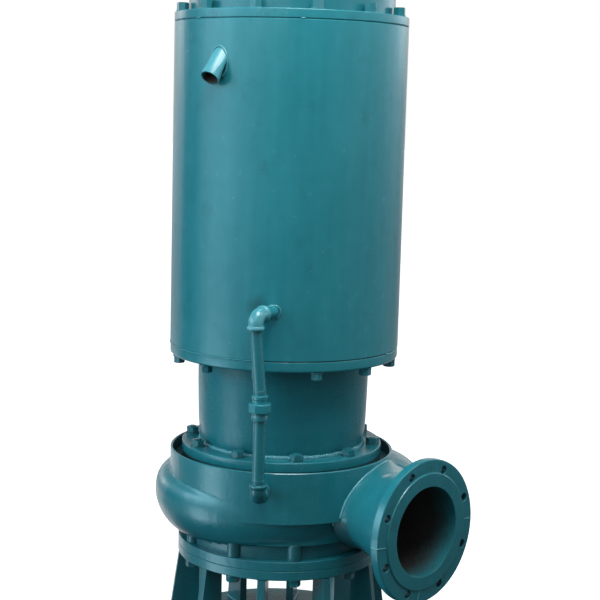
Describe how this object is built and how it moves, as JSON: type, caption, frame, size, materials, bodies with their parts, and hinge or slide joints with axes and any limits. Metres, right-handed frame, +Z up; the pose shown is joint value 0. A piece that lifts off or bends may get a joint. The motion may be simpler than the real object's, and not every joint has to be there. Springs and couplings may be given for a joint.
{
  "type": "mining sand pump",
  "caption": "Tall submersible sand pump with a water jacket, by-pass pipe, bolted neck, spiral casing with a flanged side discharge, and a ribbed stand over its bottom suction.",
  "frame": {"origin": "middle of the pump's outline seen from above, on the floor under the stand's base ring", "axes": "+Z up along the shaft, +X out of the discharge flange"},
  "size_m": [0.747, 0.6672, 1.7133],
  "materials": {
    "teal_enamel": "semi-gloss teal-green machine enamel",
    "cast_iron": "dark bare wear-resistant iron",
    "gland_green": "darker teal enamel"
  },
  "bodies": {
    "root": {"bypass_lower_elbow": "teal_enamel", "bypass_lower_pipe": "teal_enamel", "bypass_upper_elbow": "teal_enamel", "bypass_upper_pipe": "teal_enamel", "cable_gland": "teal_enamel", "cable_gland_nut": "gland_green", "casing_cover": "teal_enamel", "casing_nipple": "teal_enamel", "discharge_flange": "teal_enamel", "impeller": "cast_iron", "jacket_bottom_flange": "teal_enamel", "jacket_nipple": "teal_enamel", "jacket_outlet": "teal_enamel", "jacket_shell": "teal_enamel", "jacket_top_flange": "teal_enamel", "lifting_lug_left": "teal_enamel", "lifting_lug_right": "teal_enamel", "motor_housing": "teal_enamel", "motor_lid": "teal_enamel", "neck_barrel": "teal_enamel", "neck_flange": "teal_enamel", "pump_shaft": "cast_iron", "stand_base_ring": "teal_enamel", "stand_rib_01": "teal_enamel", "stand_rib_02": "teal_enamel", "stand_rib_03": "teal_enamel", "stand_rib_04": "teal_enamel", "stand_rib_05": "teal_enamel", "stand_rib_06": "teal_enamel", "stand_rib_07": "teal_enamel", "stand_rib_08": "teal_enamel", "stand_rib_09": "teal_enamel", "stand_rib_10": "teal_enamel", "stand_top_ring": "teal_enamel", "suction_cover": "teal_enamel", "union_lower_tail": "teal_enamel", "union_nut": "teal_enamel", "union_upper_tail": "teal_enamel", "volute_casing": "teal_enamel"}
  },
  "joints": []
}
